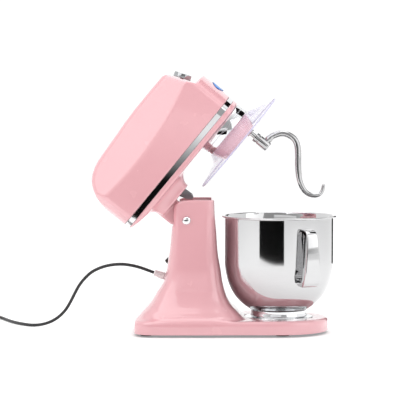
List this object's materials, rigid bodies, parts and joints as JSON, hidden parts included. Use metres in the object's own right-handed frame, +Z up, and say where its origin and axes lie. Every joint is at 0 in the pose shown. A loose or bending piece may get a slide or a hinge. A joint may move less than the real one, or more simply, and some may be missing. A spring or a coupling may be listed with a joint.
{
  "type": "stand mixer",
  "caption": "Tilt-head stand mixer with planetary gearing, dough hook, steel bowl with a strap handle, splash guard and a mains cord, its head raised.",
  "frame": {"origin": "middle of the mixer's footprint, measured without the cord, on the surface it stands on", "axes": "+Z up, +X from the pedestal towards the bowl, +Y towards the machine's left side"},
  "size_m": [0.759, 0.4027, 0.4969],
  "materials": {
    "pink_enamel": "glossy pink stove enamel over die-cast alloy",
    "chrome_trim": "bright mirror chrome",
    "polished_steel": "mirror-polished stainless steel with faint turning marks",
    "plain_steel": "plain ground or zinc-plated steel",
    "cast_alloy": "as-cast alloy and laminations",
    "brass_parts": "bare brass",
    "black_rubber": "matt black rubber or soft PVC",
    "black_plastic": "fine-grained black plastic",
    "white_plastic": "milky white plastic",
    "clear_plastic": "clear polished plastic, faintly violet at the edge",
    "blue_badge": "plain glossy blue enamel, no lettering",
    "circuit_board": "green circuit board laminate"
  },
  "bodies": {
    "base": {"base_housing": "pink_enamel", "base_plate": "plain_steel", "rubber_foot_rear_left": "black_rubber", "rubber_foot_rear_right": "black_rubber", "rubber_foot_front_left": "black_rubber", "rubber_foot_front_right": "black_rubber", "hinge_pin": "plain_steel", "hinge_pin_cap_left": "chrome_trim", "hinge_pin_cap_right": "chrome_trim", "lock_pivot_pin": "plain_steel", "bowl_clamp_plate": "chrome_trim", "strain_relief": "white_plastic", "terminal_block": "white_plastic", "power_cord": "black_rubber", "power_cord_coil": "black_rubber", "plug_body": "black_rubber", "plug_pin_left": "brass_parts", "plug_pin_right": "brass_parts"},
    "head": {"head_upper_shell": "pink_enamel", "head_lower_shell": "pink_enamel", "trim_band": "chrome_trim", "badge": "blue_badge", "striker_bracket": "plain_steel", "striker_pin": "plain_steel", "speed_potentiometer": "black_plastic", "motor_can": "cast_alloy", "stator_core": "cast_alloy", "carbon_brush_left": "black_plastic", "carbon_brush_right": "black_plastic", "drive_belt": "black_rubber", "layshaft_bearing_lower": "plain_steel", "layshaft_bearing_upper": "plain_steel", "gearbox_frame": "cast_alloy", "main_bearing_upper": "plain_steel", "main_bearing_lower": "plain_steel", "control_board": "circuit_board", "collar": "chrome_trim", "ring_gear": "white_plastic", "splash_guard": "clear_plastic"},
    "dial": {"speed_knob": "chrome_trim"},
    "rotor": {"motor_shaft": "plain_steel", "rotor_core": "cast_alloy", "commutator": "brass_parts", "cooling_fan": "black_plastic", "motor_pulley": "plain_steel"},
    "layshaft_group": {"layshaft": "plain_steel", "large_pulley": "cast_alloy", "layshaft_pinion": "plain_steel"},
    "planetary": {"main_shaft": "plain_steel", "main_gear": "brass_parts", "planet_carrier": "pink_enamel"},
    "attachment": {"beater_shaft": "polished_steel", "planet_pinion": "plain_steel", "cross_pin": "polished_steel", "dough_hook": "polished_steel"},
    "rocker": {"lock_rocker": "black_plastic"},
    "lever": {"lock_lever": "plain_steel"},
    "bowl_assembly": {"bowl": "polished_steel", "bowl_foot_ring": "polished_steel", "bowl_handle": "polished_steel"}
  },
  "joints": [
    {"name": "head_tilt", "type": "hinge", "parent": "base", "child": "head", "pos_m": [-0.05281, 0.00989, 0.216], "axis": [0, 1, 0], "range_deg": [0, 50.5]},
    {"name": "planetary_spin", "type": "hinge", "parent": "head", "child": "planetary", "pos_m": [0.0585, 0.00989, 0.35103], "axis": [-0.7716, 0, 0.6361], "continuous": true},
    {"name": "attachment_spin", "type": "hinge", "parent": "planetary", "child": "attachment", "pos_m": [0.07631, 0.00989, 0.37264], "axis": [-0.7716, 0, 0.6361], "continuous": true},
    {"name": "layshaft_spin", "type": "hinge", "parent": "head", "child": "layshaft_group", "pos_m": [0.02033, 0.00989, 0.30474], "axis": [-0.7716, 0, 0.6361], "continuous": true},
    {"name": "motor_spin", "type": "hinge", "parent": "head", "child": "rotor", "pos_m": [-0.04963, 0.00989, 0.21986], "axis": [-0.7716, 0, 0.6361], "continuous": true},
    {"name": "dial_turn", "type": "hinge", "parent": "head", "child": "dial", "pos_m": [-0.06243, 0.00989, 0.48182], "axis": [0.3105, 0, 0.9506], "range_deg": [0, 270]},
    {"name": "rocker_tilt", "type": "hinge", "parent": "base", "child": "rocker", "pos_m": [-0.08481, 0.00989, 0.137], "axis": [0, 1, 0], "range_deg": [0, 14]},
    {"name": "lever_swing", "type": "hinge", "parent": "base", "child": "lever", "pos_m": [-0.04681, 0.00989, 0.157], "axis": [0, 1, 0], "range_deg": [0, 5.9]},
    {"name": "bowl_twist", "type": "hinge", "parent": "base", "child": "bowl_assembly", "pos_m": [0.12219, 0.00989, 0.03], "axis": [0, 0, 1], "range_deg": [0, 30]}
  ],
  "couplings": [
    {"joint": "attachment_spin", "follows": "planetary_spin", "ratio": -3},
    {"joint": "layshaft_spin", "follows": "planetary_spin", "ratio": -4},
    {"joint": "motor_spin", "follows": "planetary_spin", "ratio": -24},
    {"joint": "lever_swing", "follows": "rocker_tilt", "ratio": 0.42143}
  ]
}
